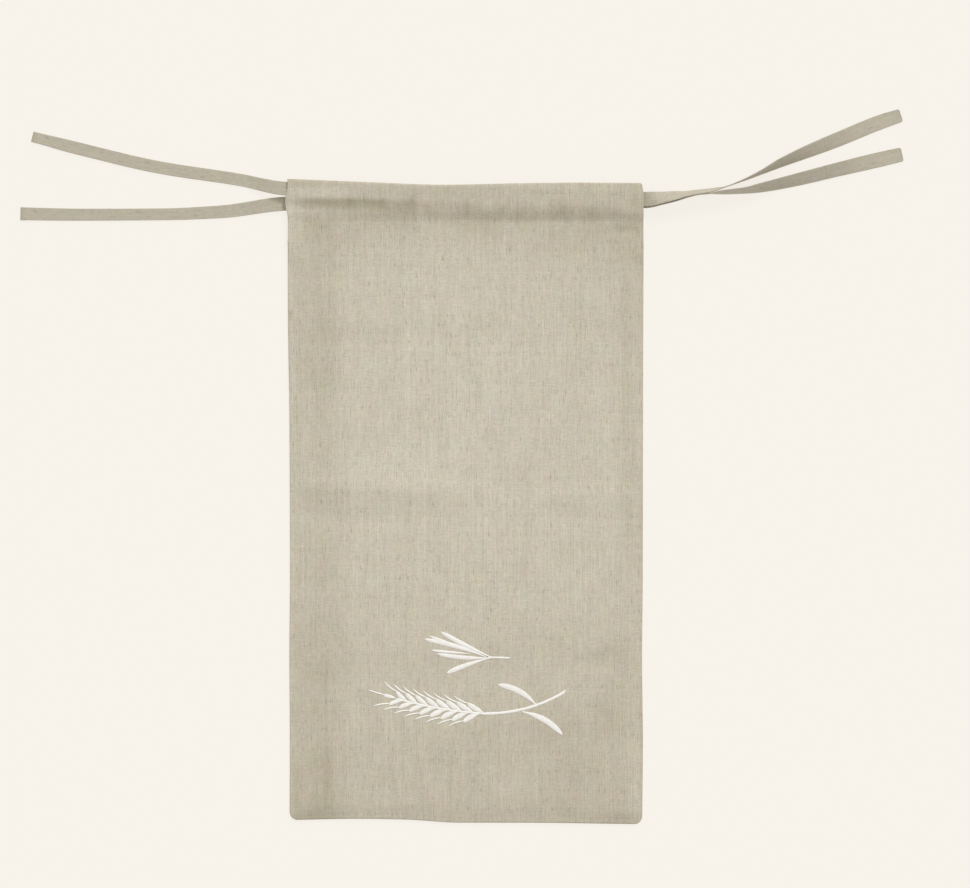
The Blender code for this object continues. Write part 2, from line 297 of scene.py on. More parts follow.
def front_outer_height(x, y):
    """The outer ply: raised strip over the tie, puckers, then soft waves down to the seams.

    Below the tie the ply slopes down to the upper row of stitches. It comes down softly on the
    left and ends in a sharper line on the right, and it rises again below that row.
    """
    hem_end = along(TOP_EDGE, x, "y") - HEM_DEPTH
    heading = smooth((y - hem_end) / HEADING_BLEND + 1)
    tie_y = along(FRONT_TIE_ROUTE, x, "y")
    tie_half = along(FRONT_TIE_ROUTE, x, "width") / 2
    flank = flank_share(x, y)
    sharp = smooth((x - LEFT_END) / SHARP_FALL_REACH)
    fall = mix(smooth(flank), flank**SHARP_FALL_POWER, sharp)
    upper = 1 - UPPER_SINK * smooth((y - tie_y - tie_half) / (2 * STRIP_FALL))
    strip = TIE_LIFT * (1 - fall) * upper
    tilt = STRIP_TILT * np.clip((y - tie_y) / tie_half, -1, 1) * (1 - fall) * upper
    rise = smooth((along(CHANNEL_FOOT, x, "y") - y) / CHANNEL_DENT_REACH)
    dent = -CHANNEL_DENT * fall * (1 - rise)
    puckered = np.maximum(-DEEPEST_PUCKER, relief(x, y, CASING_PUCKERS))
    over_hem = front_inner_height(x, y) + PLY_STEP + strip + tilt + dent + puckered
    to_side = np.minimum(x - along(LEFT_EDGE, y, "x"), along(RIGHT_EDGE, y, "x") - x)
    to_foot = y - along(FOOT_EDGE, x, "y")
    inward = smooth(to_side / SEAM_RISE) * smooth(to_foot / SEAM_RISE)
    near_heading = smooth((y - hem_end) / HEADING_RISE_REACH + 1)
    body = FRONT_BODY_Z + inward * (
        BODY_RISE + HEADING_RISE * near_heading + relief(x, y, BODY_CREASES))
    return mix(body, over_hem, heading)


def painted_shade_and_slub_at(x, y):
    """How much painted shade the linen gets at a place: 1 is the full painted shade tint, below 0
    is painted lighter.

    Shade is painted over the doubled casing, on its lower flank that faces away from the lamp, in
    the pucker troughs and along the edges where they turn under, and the patches add more painted
    shade and light together with one real slub.
    """
    top = along(TOP_EDGE, x, "y")
    foot = along(CHANNEL_FOOT, x, "y")
    flank = flank_share(x, y)
    below = smooth((foot - y) / (2 * MM))
    on_left = 1 - smooth((x - LEFT_END) / (40 * MM))
    off_seam = smooth((x + HALF_WIDTH) / (18 * MM))
    off_seam = off_seam * (1 - 0.4 * smooth((x - 112 * MM) / (34 * MM)))
    # Painted shade over the doubled casing and down its lower flank, which faces away from the
    # lamp
    total = CASING_PAINTED_SHADE * smooth((y - foot) / (18 * MM) + 0.5) + off_seam * (
        (FLANK_PAINTED_SHADE + LEFT_FLANK_PAINTED_SHADE * on_left) * smooth(flank / 0.4) * (1 - below)
        + (BELOW_FLANK_PAINTED_SHADE + LEFT_BELOW_PAINTED_SHADE * on_left) * below
        * (1 - smooth((foot - y) / (38 * MM))))
    to_right = along(RIGHT_EDGE, y, "x") - x
    to_foot = y - along(FOOT_EDGE, x, "y")
    # Painted shade along the top, right and foot edges, where they turn under
    total = total + TOP_EDGE_PAINTED_SHADE * np.exp(-((top - y) / (1.5 * MM)) ** 2)
    total = total + RIGHT_EDGE_PAINTED_SHADE * np.exp(-(to_right / (1.8 * MM)) ** 2) * smooth(
        (foot - y) / (20 * MM))
    total = total + FOOT_EDGE_PAINTED_SHADE * np.exp(-(to_foot / (1.5 * MM)) ** 2)
    # Painted shade in the pucker troughs and painted light on their ridges
    total = total - PUCKER_PAINTED_SHADE * relief(x, y, CASING_PUCKERS)
    # Painted shade and light patches, and the one real slub
    for patch in PAINTED_SHADES_AND_SLUB:
        across = (x - patch.x * MM) / (patch.half_width * MM)
        up = (y - patch.y * MM) / (patch.half_height * MM)
        total = total + patch.depth * np.exp(-0.7 * (abs(across)**2.6 + up**4))
    return np.clip(total, *PAINTED_SHADE_LIMITS)


def graded(near_edge, span, step):
    """Places from 0 to a span: the given ones beside both ends, then even steps between."""
    edge = np.array(near_edge) * MM
    count = max(1, round((span - 2 * edge[-1]) / step))
    middle = np.linspace(edge[-1], span - edge[-1], count + 1)[1:-1]
    return np.concatenate([edge, middle, span - edge[::-1]])


def panel_surface(columns, rows, inset, outer, inner, seam_z):
    """A panel as grids of x, y, z and run: up its outer ply, over the top and down its hem.

    Its edge curls to the height seam_z at the side and foot seams, where the panels are sewn.
    """
    x = mix(-HALF_WIDTH, HALF_WIDTH, columns / columns[-1])[:, None]
    foot = along(FOOT_EDGE, x, "y") + inset
    top = along(TOP_EDGE, x, "y") - inset
    outer_z = outer(x, top - FOLD_TOP_DEPTH)
    inner_z = inner(x, top - FOLD_TOP_DEPTH)
    radius = (outer_z - inner_z) / 2
    fold_y = top - LINEN_THICK / 2 - abs(radius)
    low, high = foot + rows["foot"][-1] * MM, fold_y - rows["heading"][-1] * MM
    body = np.arange(1, rows["body"]) / rows["body"]
    y = np.hstack([foot + np.array(rows["foot"]) * MM, mix(low, high, body[None, :]),
                   fold_y - np.array(rows["heading"][::-1]) * MM])
    turn = np.pi * np.arange(1, rows["fold"] + 1)[None, :] / rows["fold"]
    fold_at = fold_y + abs(radius) * np.sin(turn)
    fold_z = mix(inner_z, outer_z, (1 + np.cos(turn)) / 2)
    hem_y = fold_y - np.array(rows["hem"]) * MM
    z = np.hstack([outer(x, y), fold_z, inner(x, hem_y)])
    outer_rows = y.shape[1]
    y = np.hstack([y, fold_at, hem_y])
    left, right = along(LEFT_EDGE, y, "x") + inset, along(RIGHT_EDGE, y, "x") - inset
    foot_short = np.clip(FOOT_CORNER - (y - foot), 0, FOOT_CORNER)
    corner = FOOT_CORNER - np.sqrt(FOOT_CORNER**2 - foot_short**2)
    top_short = np.clip(TOP_RIGHT_CORNER - (top - y), 0, TOP_RIGHT_CORNER)
    top_corner = TOP_RIGHT_CORNER - np.sqrt(TOP_RIGHT_CORNER**2 - top_short**2)
    left, right = left + corner, right - corner - top_corner
    wide_x = mix(left, right, (columns / columns[-1])[:, None])
    hem_end = top - HEM_DEPTH
    to_side = np.minimum(wide_x - left, right - wide_x)
    sewn = 1 - smooth((y - hem_end) / SEAM_OPENS + 1)
    curl_side = 1 - np.sqrt(1 - np.clip(1 - to_side / SEAM_CURL, 0, 1) ** 2)
    curl_foot = 1 - np.sqrt(1 - np.clip(1 - (y - foot) / SEAM_CURL, 0, 1) ** 2)
    curl = np.maximum(curl_side * sewn, curl_foot)
    curl[:, outer_rows:] = 0
    z = mix(z, seam_z, curl)
    step = np.hypot(np.diff(y, axis=1), np.diff(z, axis=1))
    run = np.hstack([np.zeros((len(columns), 1)), np.cumsum(step, axis=1)])
    return wide_x, y, z, run


def place_object(name, data):
    made = bpy.data.objects.new(name, data)
    bpy.context.scene.collection.objects.link(made)
    return made


def mesh_object(name, points, faces, weave, shade=None):
    """A mesh whose UV map places each point in the flat cloth, in metres."""
    mesh = bpy.data.meshes.new(name)
    mesh.from_pydata(points.tolist(), [], faces)
    mesh.shade_smooth()
    corners = np.empty(len(mesh.loops), dtype=int)
    mesh.loops.foreach_get("vertex_index", corners)
    uv = mesh.uv_layers.new(name="weave")
    uv.data.foreach_set("uv", weave[corners].ravel())
    # Each point keeps its painted shade, and on the front one real slub, for the material
    shades = mesh.attributes.new("shade", "FLOAT", "POINT")
    shades.data.foreach_set("value", np.zeros(len(points)) if shade is None else shade)
    return place_object(name, mesh)


def cloth_object(name, surface, shade=None):
    """A panel's surface as a sheet of linen, thickened evenly to both sides."""
    x, y, z, run = surface
    columns, rows = x.shape
    corner = np.arange(columns * rows).reshape(columns, rows)
    faces = np.stack([corner[:-1, :-1], corner[1:, :-1], corner[1:, 1:], corner[:-1, 1:]], axis=-1)
    points = np.stack([x, y, z], axis=-1).reshape(-1, 3)
    weave = np.stack([x, run], axis=-1).reshape(-1, 2)
    made = mesh_object(name, points, faces.reshape(-1, 4).tolist(), weave, shade)
    ply = made.modifiers.new("linen_thickness", "SOLIDIFY")
    ply.thickness = LINEN_THICK
    ply.offset = 0
    ply.use_even_offset = True
    return made


def add_node(tree, kind, inputs=None, **settings):
    """Add a node, with its settings and with its inputs linked or set."""
    made = tree.nodes.new(kind)
    for name, value in settings.items():
        setattr(made, name, value)
    for name, value in (inputs or {}).items():
        if isinstance(value, bpy.types.NodeSocket):
            tree.links.new(value, made.inputs[name])
        else:
            made.inputs[name].default_value = value
    return made


def calculate(tree, operation, first, second=0.0):
    made = add_node(tree, "ShaderNodeMath", {0: first, 1: second}, operation=operation)
    return made.outputs[0]


def cloud(tree, across, up, detail=2.0):
    """A noise between about 0.2 and 0.8 at a pair of coordinates."""
    place = add_node(tree, "ShaderNodeCombineXYZ", {"X": across, "Y": up}).outputs[0]
    made = add_node(tree, "ShaderNodeTexNoise", {"Vector": place, "Scale": 1.0, "Detail": detail},
                    noise_dimensions="2D")
    return made.outputs["Fac"]


THREAD_PITCH = 0.62 * MM
THREAD_RELIEF = 0.11 * MM
# The tint that painted shade pulls the linen towards, darker and warmer
PAINTED_SHADE_TINT = (0.79, 0.772, 0.72)
COOL = (0.978, 1.0, 1.03)
WARM = (1.022, 1.0, 0.97)
PINKISH = (1.025, 0.98, 1.024)
GREENISH = (0.975, 1.02, 0.976)
FLECK_FROM = 0.77
FLECK_DEPTH = 0.28
FLOAT_DEPTH = 0.35


def linen(name, dark, light, streak):
    """Plain-weave linen: slubby warp and weft threads, each with its own uneven tone.

    The pattern lies on the UV map, with the warp along V. streak scales all the unevenness.
    """
    material = bpy.data.materials.new(name)
    material.use_nodes = True
    tree = material.node_tree
    shader = tree.nodes["Principled BSDF"]
    uv = add_node(tree, "ShaderNodeUVMap", uv_map="weave").outputs["UV"]
    flat = add_node(tree, "ShaderNodeSeparateXYZ", {"Vector": uv})
    u, v = flat.outputs["X"], flat.outputs["Y"]
    warp, weft = (calculate(tree, "DIVIDE", place, THREAD_PITCH) for place in (u, v))
    warp_number, weft_number = (calculate(tree, "FLOOR", place) for place in (warp, weft))

    def spaced(place, millimetres):
        return calculate(tree, "DIVIDE", place, millimetres * MM)

    def swing(share, amount):
        """An unevenness about zero, from a share about a half."""
        centred = calculate(tree, "SUBTRACT", share, 0.5)
        return calculate(tree, "MULTIPLY", centred, amount * streak)

    warp_own = cloud(tree, calculate(tree, "MULTIPLY", warp_number, 7.31), spaced(v, 12), 3.0)
    warp_long = cloud(tree, calculate(tree, "MULTIPLY", warp_number, 3.17), spaced(v, 150), 1.0)
    weft_own = cloud(tree, spaced(u, 4.5), calculate(tree, "MULTIPLY", weft_number, 5.77))
    weft_long = cloud(tree, spaced(u, 110), calculate(tree, "MULTIPLY", weft_number, 2.63), 1.0)
    warp_bunch = cloud(tree, spaced(u, 1.7), spaced(v, 60))
    weft_bunch = cloud(tree, spaced(u, 50), spaced(v, 1.9))
    mottle = cloud(tree, spaced(u, 14), spaced(v, 22))
    warmth = cloud(tree, spaced(u, 15), spaced(v, 14), 1.0)
    greenness = cloud(tree, spaced(v, 15), spaced(u, 14), 1.0)

    def thread_profile(place, place_across, side):
        """Height of a round thread that rises and dips over the threads that it crosses."""
        lobe = calculate(tree, "SINE", calculate(tree, "MULTIPLY", place, math.pi))
        lobe = calculate(tree, "ABSOLUTE", lobe)
        phase = calculate(tree, "SUBTRACT", place_across, 0.5)
        phase = calculate(tree, "ADD", phase, calculate(tree, "FLOOR", place))
        wave = calculate(tree, "COSINE", calculate(tree, "MULTIPLY", phase, math.pi))
        wave = calculate(tree, "ADD", calculate(tree, "MULTIPLY", wave, FLOAT_DEPTH * side),
                         1 - FLOAT_DEPTH)
        return calculate(tree, "MULTIPLY", lobe, wave)

    warp_height = thread_profile(warp, weft, 1)
    weft_height = thread_profile(weft, warp, -1)
    warp_on_top = calculate(tree, "GREATER_THAN", warp_height, weft_height)
    height = calculate(tree, "MAXIMUM", warp_height, weft_height)

    warp_tone = calculate(tree, "ADD", swing(warp_own, 1.2), swing(warp_bunch, 0.55))
    warp_tone = calculate(tree, "ADD", warp_tone, swing(warp_long, 0.75))
    weft_tone = calculate(tree, "ADD", swing(weft_own, 1.4), swing(weft_bunch, 0.2))
    weft_tone = calculate(tree, "ADD", weft_tone, swing(weft_long, 0.25))
    thread_tone = add_node(tree, "ShaderNodeMix", {0: warp_on_top, 2: weft_tone, 3: warp_tone},
                           data_type="FLOAT").outputs[0]
    # Painted shade and highlight in the weave: each thread is painted darker where it dips under a
    # crossing and a little lighter on its crown
    painted_weave_shading = calculate(tree, "MULTIPLY", calculate(tree, "SUBTRACT", height, 0.8), 0.35)
    tone = calculate(tree, "ADD", thread_tone, painted_weave_shading)
    tone = calculate(tree, "ADD", tone, swing(mottle, 0.27))
    fleck = cloud(tree, spaced(u, 0.8), spaced(v, 8), 0.0)
    fleck = calculate(tree, "GREATER_THAN", fleck, FLECK_FROM)
    fleck = calculate(tree, "MULTIPLY", fleck, -FLECK_DEPTH)
    tone = calculate(tree, "ADD", calculate(tree, "ADD", tone, fleck), 0.5)
    colour = add_node(tree, "ShaderNodeMix",
                      {0: tone, 6: (*dark, 1), 7: (*light, 1)}, data_type="RGBA")
    dyed = colour.outputs[2]
    for share, cool, warm in ((warmth, COOL, WARM), (greenness, PINKISH, GREENISH)):
        tint = add_node(tree, "ShaderNodeMix", {0: share, 6: (*cool, 1), 7: (*warm, 1)},
                        data_type="RGBA").outputs[2]
        dyed = add_node(tree, "ShaderNodeMix", {0: 1.0, 6: dyed, 7: tint},
                        data_type="RGBA", blend_type="MULTIPLY").outputs[2]
    # Painted shade: the 'shade' attribute pulls the dyed linen towards the painted shade tint, and
    # lighter below 0; on the front it also holds one real slub
    shade = add_node(tree, "ShaderNodeAttribute", attribute_name="shade").outputs["Fac"]
    shaded = add_node(tree, "ShaderNodeMix", {0: shade, 6: dyed, 7: (*PAINTED_SHADE_TINT, 1)},
                      data_type="RGBA", blend_type="MULTIPLY", clamp_factor=False)
    tree.links.new(shaded.outputs[2], shader.inputs["Base Color"])
    slub = calculate(tree, "MULTIPLY", calculate(tree, "ADD", warp_bunch, weft_bunch), 0.8)
    lumps = calculate(tree, "ADD", height, slub)
    bump = add_node(tree, "ShaderNodeBump",
                    {"Height": lumps, "Strength": 0.7, "Distance": THREAD_RELIEF})
    tree.links.new(bump.outputs["Normal"], shader.inputs["Normal"])
    shader.inputs["Roughness"].default_value = 0.88
    shader.inputs["Specular IOR Level"].default_value = 0.25
    shader.inputs["Sheen Weight"].default_value = 0.12
    shader.inputs["Sheen Roughness"].default_value = 0.5
    return material


PANEL_DARK = (0.402, 0.358, 0.274)
PANEL_LIGHT = (0.820, 0.756, 0.617)
panel_linen = linen("panel_linen", PANEL_DARK, PANEL_LIGHT, 0.62)
edge_rows = (0, 0.12, 0.3, 0.6, 1.0, 1.6, 2.6, 4.4)
panel_columns = graded(edge_rows, 2 * HALF_WIDTH, 2.05 * MM)
front_rows = dict(foot=edge_rows + (7,), body=186, heading=tuple(np.arange(0, 78, 1.35)),
                  fold=10, hem=tuple(np.arange(2.6, 54, 3.6)))
front_surface = panel_surface(panel_columns, front_rows, EDGE_ROUND, front_outer_height,
                              front_inner_height, SEAM_LINE_Z + SEAM_SLIT)
# Painted shade and light over the front panel, with its one real slub
front_painted_shade_and_slub = painted_shade_and_slub_at(front_surface[0], front_surface[1]).ravel()
front_cloth = cloth_object("front_linen", front_surface, front_painted_shade_and_slub)
front_cloth.data.materials.append(panel_linen)
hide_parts("front_panel")
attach(front_cloth, "root")

# Back panel: cut from the same linen as the front and hemmed the same way. It lies flat on its
# outer face, and its casing holds the other tie.
BACK_OUTER_Z = LINEN_THICK / 2


def back_outer_height(x, y):
    return np.full(np.broadcast(x, y).shape, BACK_OUTER_Z)


def back_inner_height(x, y):
    return BACK_INNER_Z + strip_lift(x, y, BACK_TIE_ROUTE)


back_rows = dict(foot=edge_rows + (7,), body=60, heading=tuple(np.arange(0, 78, 6)),
                 fold=10, hem=tuple(np.arange(1.4, 54, 1.4)))
back_columns = graded(edge_rows, 2 * HALF_WIDTH, 5 * MM)
back_surface = panel_surface(back_columns, back_rows, EDGE_ROUND, back_outer_height,
                             back_inner_height, SEAM_LINE_Z - SEAM_SLIT)
back_cloth = cloth_object("back_linen", back_surface)
back_cloth.data.materials.append(panel_linen)
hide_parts("back_panel")
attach(back_cloth, "root")

# Casing stitching: rows of lockstitch in linen-coloured thread. The lower row holds each
# turned-in hem down just above its end, and the upper row closes the channel under the tie.
STITCH_PITCH = 2.7 * MM
STITCH_LENGTH = 2.2 * MM
STITCH_WIDTH = 0.36 * MM
STITCH_HEIGHT = 0.26 * MM
STITCH_ROW_INSET = 0.6 * MM
STITCH_ROW_END = 2 * MM
UNDER_STITCH_Z = 0.1 * MM


def tree_inputs(tree, sockets):
    for label, kind in sockets:
        tree.interface.new_socket(label, in_out="INPUT", socket_type=kind)
    tree.interface.new_socket("Geometry", in_out="OUTPUT", socket_type="NodeSocketGeometry")


def places_along(tree, given):
    """Even places along paths, each with X along its path and Z along its 'up'."""
    curve = add_node(tree, "GeometryNodeMeshToCurve", {"Mesh": given["Paths"]})
    places = add_node(tree, "GeometryNodeResampleCurve",
                      {"Curve": curve.outputs[0], "Length": given["Pitch"]}, mode="LENGTH")
    up = add_node(tree, "GeometryNodeInputNamedAttribute", {"Name": "up"},
                  data_type="FLOAT_VECTOR").outputs[0]
    tangent = tree.nodes.new("GeometryNodeInputTangent").outputs[0]
    facing = add_node(tree, "FunctionNodeAlignRotationToVector", {"Vector": up}, axis="Z")
    turned = add_node(tree, "FunctionNodeAlignRotationToVector",
                      {"Rotation": facing.outputs[0], "Vector": tangent}, axis="X",
                      pivot_axis="Z")
    return places.outputs[0], turned.outputs[0]


def finish_tree(tree, placed, thread):
    real = add_node(tree, "GeometryNodeRealizeInstances", {"Geometry": placed.outputs[0]})
    smoothed = add_node(tree, "GeometryNodeSetShadeSmooth", {"Geometry": real.outputs[0]})
    finished = add_node(tree, "GeometryNodeSetMaterial",
                        {"Geometry": smoothed.outputs[0], "Material": thread})
    add_node(tree, "NodeGroupOutput", {"Geometry": finished.outputs[0]})
    return tree


def stitch_tree():
    """Stitches one behind the other along paths, each lying along its path and facing 'up'."""
    tree = bpy.data.node_groups.new("lockstitch", "GeometryNodeTree")
    tree_inputs(tree, (("Paths", "NodeSocketGeometry"), ("Pitch", "NodeSocketFloat"),
                       ("Length", "NodeSocketFloat"), ("Width", "NodeSocketFloat"),
                       ("Height", "NodeSocketFloat"), ("Seed", "NodeSocketInt"),
                       ("Thread", "NodeSocketMaterial")))
    given = tree.nodes.new("NodeGroupInput").outputs
    places, turned = places_along(tree, given)
    spread = add_node(tree, "FunctionNodeRandomValue",
                      {"Min": (0.88, 0.85, 0.85), "Max": (1.06, 1.15, 1.15),
                       "Seed": given["Seed"]}, data_type="FLOAT_VECTOR")
    size = add_node(tree, "ShaderNodeCombineXYZ",
                    {"X": given["Length"], "Y": given["Width"], "Z": given["Height"]})
    scale = add_node(tree, "ShaderNodeVectorMath",
                     {0: size.outputs[0], 1: spread.outputs[0]}, operation="MULTIPLY")
    bead = add_node(tree, "GeometryNodeMeshUVSphere", {"Segments": 7, "Rings": 5, "Radius": 0.5})
    lying = add_node(tree, "GeometryNodeTransform",
                     {"Geometry": bead.outputs[0], "Rotation": (0, math.pi / 2, 0)})
    placed = add_node(tree, "GeometryNodeInstanceOnPoints",
                      {"Points": places, "Instance": lying.outputs[0],
                       "Rotation": turned, "Scale": scale.outputs[0]})
    return finish_tree(tree, placed, given["Thread"])


def path_mesh(name, paths, attributes):
    """Polylines as one mesh, with a value of each attribute at each point."""
    points = np.vstack(paths)
    edges, start = [], 0
    for path in paths:
        edges += [(start + i, start + i + 1) for i in range(len(path) - 1)]
        start += len(path)
    mesh = bpy.data.meshes.new(name)
    mesh.from_pydata(points.tolist(), edges, [])
    for label, values in attributes.items():
        vector = values.ndim == 2
        layer = mesh.attributes.new(label, "FLOAT_VECTOR" if vector else "FLOAT", "POINT")
        layer.data.foreach_set("vector" if vector else "value", values.ravel())
    return mesh


def grow(name, mesh, tree, values):
    """Run a tree on a mesh of paths, and keep the result as a plain mesh piece."""
    guide = place_object(name + "_guide", mesh)
    modifier = guide.modifiers.new("grow", "NODES")
    modifier.node_group = tree
    for socket in tree.interface.items_tree:
        if socket.in_out == "INPUT" and socket.name in values:
            modifier[socket.identifier] = values[socket.name]
    depsgraph = bpy.context.evaluated_depsgraph_get()
    made = place_object(name, bpy.data.meshes.new_from_object(guide.evaluated_get(depsgraph)))
    bpy.data.objects.remove(guide)
    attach(made, "root")
    return made


def thread_material(name, dark, light, roughness):
    """Spun thread: fine twist lines and a slow drift of tone from stitch to stitch."""
    material = bpy.data.materials.new(name)
    material.use_nodes = True
    tree = material.node_tree
    shader = tree.nodes["Principled BSDF"]
    place = add_node(tree, "ShaderNodeTexCoord").outputs["Object"]
    drift = add_node(tree, "ShaderNodeTexNoise", {"Vector": place, "Scale": 320.0, "Detail": 3.0})
    fibre = add_node(tree, "ShaderNodeTexNoise", {"Vector": place, "Scale": 3800.0})
    tone = calculate(tree, "ADD", calculate(tree, "MULTIPLY", drift.outputs["Fac"], 0.6),
                     calculate(tree, "MULTIPLY", fibre.outputs["Fac"], 0.4))
    colour = add_node(tree, "ShaderNodeMix",
                      {0: tone, 6: (*dark, 1), 7: (*light, 1)}, data_type="RGBA")
    tree.links.new(colour.outputs[2], shader.inputs["Base Color"])
    bump = add_node(tree, "ShaderNodeBump", {"Height": fibre.outputs["Fac"], "Strength": 0.5,
                                             "Distance": 0.05 * MM})
    tree.links.new(bump.outputs["Normal"], shader.inputs["Normal"])
    shader.inputs["Roughness"].default_value = roughness
    shader.inputs["Sheen Weight"].default_value = 0.15
    return material


def cloth_top(x, y):
    """The front's upper face, and the way that it faces, at places on it."""
    reach = 0.5 * MM
    z = front_outer_height(x, y)
    slope_x = (front_outer_height(x + reach, y) - front_outer_height(x - reach, y)) / (2 * reach)
    slope_y = (front_outer_height(x, y + reach) - front_outer_height(x, y - reach)) / (2 * reach)
    up = np.stack([-slope_x, -slope_y, np.ones_like(z)], axis=-1)
    up /= np.linalg.norm(up, axis=-1, keepdims=True)
    return np.stack([x, y, z], axis=-1) + up * LINEN_THICK / 2, up


lockstitch = stitch_tree()
sewing_thread = thread_material("sewing_thread", (0.40, 0.36, 0.28), (0.66, 0.60, 0.49), 0.75)
stitch_x = np.linspace(STITCH_ROW_END - HALF_WIDTH, HALF_WIDTH - STITCH_ROW_END, 160)
stitch_rows, stitch_ups = [], []
for depth in (CHANNEL_DEPTH, HEM_DEPTH - STITCH_ROW_INSET):
    stitch_y = along(TOP_EDGE, stitch_x, "y") - depth
    row, up = cloth_top(stitch_x, stitch_y)
    under = np.stack([stitch_x, stitch_y, np.full_like(stitch_x, UNDER_STITCH_Z)], axis=-1)
    stitch_rows += [row, under]
    stitch_ups += [up, np.tile((0.0, 0.0, -1.0), (len(stitch_x), 1))]
casing_stitches = grow(
    "casing_stitches",
    path_mesh("casing_rows", stitch_rows, {"up": np.vstack(stitch_ups)}),
    lockstitch,
    {"Pitch": STITCH_PITCH, "Length": STITCH_LENGTH, "Width": STITCH_WIDTH,
     "Height": STITCH_HEIGHT, "Seed": 3, "Thread": sewing_thread})

# Ties: each is a strip of the same linen, folded in on itself to a flat tape, edge-stitched
# along its open edge and hemmed at both ends. One runs through each casing, and all four ends
# are free. On the right both turn over on their edges.
TIE_THICK = 0.92 * MM
TIE_END_THICK = 1.08 * MM
TIE_DROP = 34 * MM
PILE_STEP = 1.05 * MM
TIE_STATION = 2.0 * MM
TIE_STITCH_INSET = 1.7 * MM
TIE_HEM = 5 * MM
TIE_CORNER = 2.0 * MM
TIE_END_ROW = 1.8 * MM
TIE_STITCH_PITCH = 2.5 * MM
TIE_STITCH_LENGTH = 2.0 * MM
TIE_STITCH_SINK = 0.16
# Painted shade at the hemmed ends, and a painted shadow of the casing edge where the ties come out
# on the right, with its reach
TIE_END_PAINTED_SHADE = 0.5
EXIT_PAINTED_SHADOW = 0.55
EXIT_PAINTED_SHADOW_REACH = 5 * MM


def tie_lie(route, casing_z, pile_step):
    """Where a tie lies: stations of its centre, width direction, facing and half width."""
    start, end = route[0].x * MM, route[-1].x * MM
    x = graded((0, 0.25, 0.6, 1.1, 1.8, 2.8), end - start, TIE_STATION) + start
    y = along(route, x, "y")
    roll = np.radians(along(route, x, "roll"))
    half = along(route, x, "width") / 2
    before, after = np.maximum(start, x - MM), np.minimum(end, x + MM)
    slope = (along(route, after, "y") - along(route, before, "y")) / (after - before)
    across = 1 / np.hypot(1, slope)
    lying = half * abs(np.sin(roll)) + TIE_SPACE / 2 * abs(np.cos(roll))
    piled = np.where(x > 0, pile_step * np.maximum(0, np.cos(roll)), 0)
    from_pile = np.where(x > 0, pile_step, 0)
    in_casing = 1 - smooth((abs(x) - HALF_WIDTH - 2 * MM) / TIE_DROP)
    z = lying + piled + (casing_z - TIE_SPACE / 2 - from_pile) * in_casing
    centre = np.stack([x, y, z], axis=-1)
    wide = np.stack([-slope * across * np.cos(roll), across * np.cos(roll), np.sin(roll)], axis=-1)
    forward = np.gradient(centre, axis=0)
    facing = np.cross(forward, wide)
    facing /= np.linalg.norm(facing, axis=-1, keepdims=True)
    run = np.concatenate([[0], np.cumsum(np.linalg.norm(np.diff(centre, axis=0), axis=1))])
    past = np.clip(1 - (run[-1] - run) / TIE_CORNER, 0, 1)
    half = half - TIE_CORNER * (1 - np.sqrt(1 - past**2)) * 0.8
    return centre, wide, facing, half, run


def tape_half_thickness(share, half, run, length):
    """Half the thickness of the folded tape at a share (-1 to 1) of its half width."""
    from_end = np.minimum(run, length - run)
    full = mix(TIE_END_THICK, TIE_THICK, smooth((from_end - TIE_HEM) / (1 * MM))) / 2
    full = full * np.sqrt(np.clip(from_end / (0.5 * MM), 0.15, 1))
    stitched = np.exp(-(((share + 1) * half - TIE_STITCH_INSET) / (0.6 * MM)) ** 2)
    return full * (1 - TIE_STITCH_SINK * stitched)


TAPE_SHARES = (-1, -0.98, -0.93, -0.84, -0.72, -0.6, -0.3, 0, 0.3, 0.6, 0.84, 0.93, 0.98)
TAPE_EDGE = dict(zip((-1, -0.98, -0.93, 0.93, 0.98), (0.5, 0.78, 0.96, 0.95, 0.65)))


def tie_object(name, lie):
    """A closed tape with rounded edges: full at its fold, thinner where its two sides meet.

    It is painted darker at its hemmed ends, as painted shade, and where it comes out of the bag on
    the right, as a painted shadow of the casing edge.
    """
    centre, wide, facing, half, run = lie
    loop = [(share, 1) for share in TAPE_SHARES] + [(1.0, 0)]
    loop += [(share, -1) for share in reversed(TAPE_SHARES)] + [(-0.97, 0)]
    rings, weave = [], []
    around = 0.0
    for share, side in loop:
        t = tape_half_thickness(share, half, run, run[-1]) * side * TAPE_EDGE.get(share, 1)
        rings.append(centre + wide * (share * half)[:, None] + facing * t[:, None])
        across = (share if side >= 0 else 2 - share) * half
        weave.append(np.stack([across, run], axis=-1))
    count, stations = len(loop), len(run)
    points = np.stack(rings, axis=1).reshape(-1, 3)
    flat = np.stack(weave, axis=1).reshape(-1, 2)
    number = np.arange(stations * count).reshape(stations, count)
    ahead = np.roll(number, -1, axis=1)
    sides = np.stack([number[:-1], ahead[:-1], ahead[1:], number[1:]], axis=-1)
    faces = sides.reshape(-1, 4)[:, ::-1].tolist()
    faces += [number[0].tolist(), number[-1, ::-1].tolist()]
    # Painted shade at the hemmed ends and a painted shadow of the casing edge beside the bag
    from_end = np.minimum(run / (2.6 * MM), (run[-1] - run) / (1.2 * MM))
    shade = TIE_END_PAINTED_SHADE * (1 - smooth(from_end - 0.4))
    beside_bag = np.exp(-((centre[:, 0] - HALF_WIDTH) / EXIT_PAINTED_SHADOW_REACH) ** 2)
    shade = np.repeat(shade + EXIT_PAINTED_SHADOW * beside_bag, count)
    return mesh_object(name, points, faces, flat, shade)


